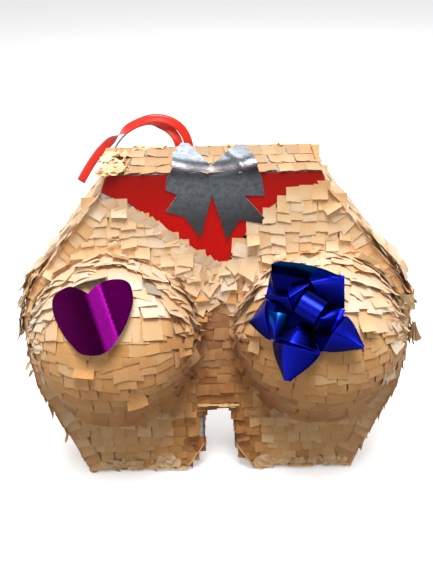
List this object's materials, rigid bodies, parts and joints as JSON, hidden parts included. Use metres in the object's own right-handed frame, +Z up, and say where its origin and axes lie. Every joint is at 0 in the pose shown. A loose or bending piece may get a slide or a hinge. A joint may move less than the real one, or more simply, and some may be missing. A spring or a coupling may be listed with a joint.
{
  "type": "pinata",
  "caption": "Hip-shaped party pinata: a card box with two paper domes, all covered in rows of cut tissue, with foil bows, a foil heart, a hanging ribbon and a fill flap in the back.",
  "frame": {"origin": "middle of the pinata's box on the surface that it stands on, without the hanging ribbon's tails", "axes": "+X to the right seen from the front, front with the domes faces -Y, +Z up"},
  "size_m": [0.396, 0.2216, 0.3736],
  "materials": {
    "peach_tissue": "matte cut tissue paper",
    "brown_card": "matte corrugated card",
    "newsprint": "matte pasted newsprint",
    "red_paper": "glossy coated paper",
    "silver_foil_card": "brushed silver foil on card",
    "purple_foil_card": "metallic purple foil on card",
    "blue_foil_ribbon": "metallic blue film",
    "bow_base_card": "matte white card",
    "staple_wire": "bright steel wire",
    "red_ribbon": "glossy orange-red ribbon"
  },
  "bodies": {
    "pinata": {"front_panel": "brown_card", "back_panel": "brown_card", "top_strip": "brown_card", "left_side_strip": "brown_card", "right_side_strip": "brown_card", "left_foot_strip": "brown_card", "right_foot_strip": "brown_card", "leg_gap_strip": "brown_card", "left_dome": "newsprint", "right_dome": "newsprint", "left_dome_collar": "newsprint", "right_dome_collar": "newsprint", "front_newsprint": "newsprint", "back_newsprint": "newsprint", "edge_newsprint": "newsprint", "front_tissue": "peach_tissue", "back_tissue": "peach_tissue", "top_tissue": "peach_tissue", "left_side_tissue": "peach_tissue", "right_side_tissue": "peach_tissue", "left_foot_tissue": "peach_tissue", "right_foot_tissue": "peach_tissue", "leg_gap_tissue": "peach_tissue", "left_dome_tissue": "peach_tissue", "right_dome_tissue": "peach_tissue", "red_panel": "red_paper", "silver_bow": "silver_foil_card", "purple_heart": "purple_foil_card", "gift_bow_base": "bow_base_card", "gift_bow_outer_loops": "blue_foil_ribbon", "gift_bow_inner_loops": "blue_foil_ribbon", "gift_bow_centre_loop": "blue_foil_ribbon", "gift_bow_staple": "staple_wire", "hang_patch": "brown_card", "ribbon_stay": "red_ribbon", "ribbon_knot": "red_ribbon", "ribbon_long_tail": "red_ribbon", "ribbon_short_tail": "red_ribbon"},
    "fill_flap": {"fill_flap": "brown_card", "fill_flap_tissue": "peach_tissue"}
  },
  "joints": [
    {"name": "fill_flap_fold", "type": "hinge", "parent": "pinata", "child": "fill_flap", "pos_m": [0, 0.08609, 0.289], "axis": [1, 0, 0], "range_deg": [0, 110]}
  ]
}
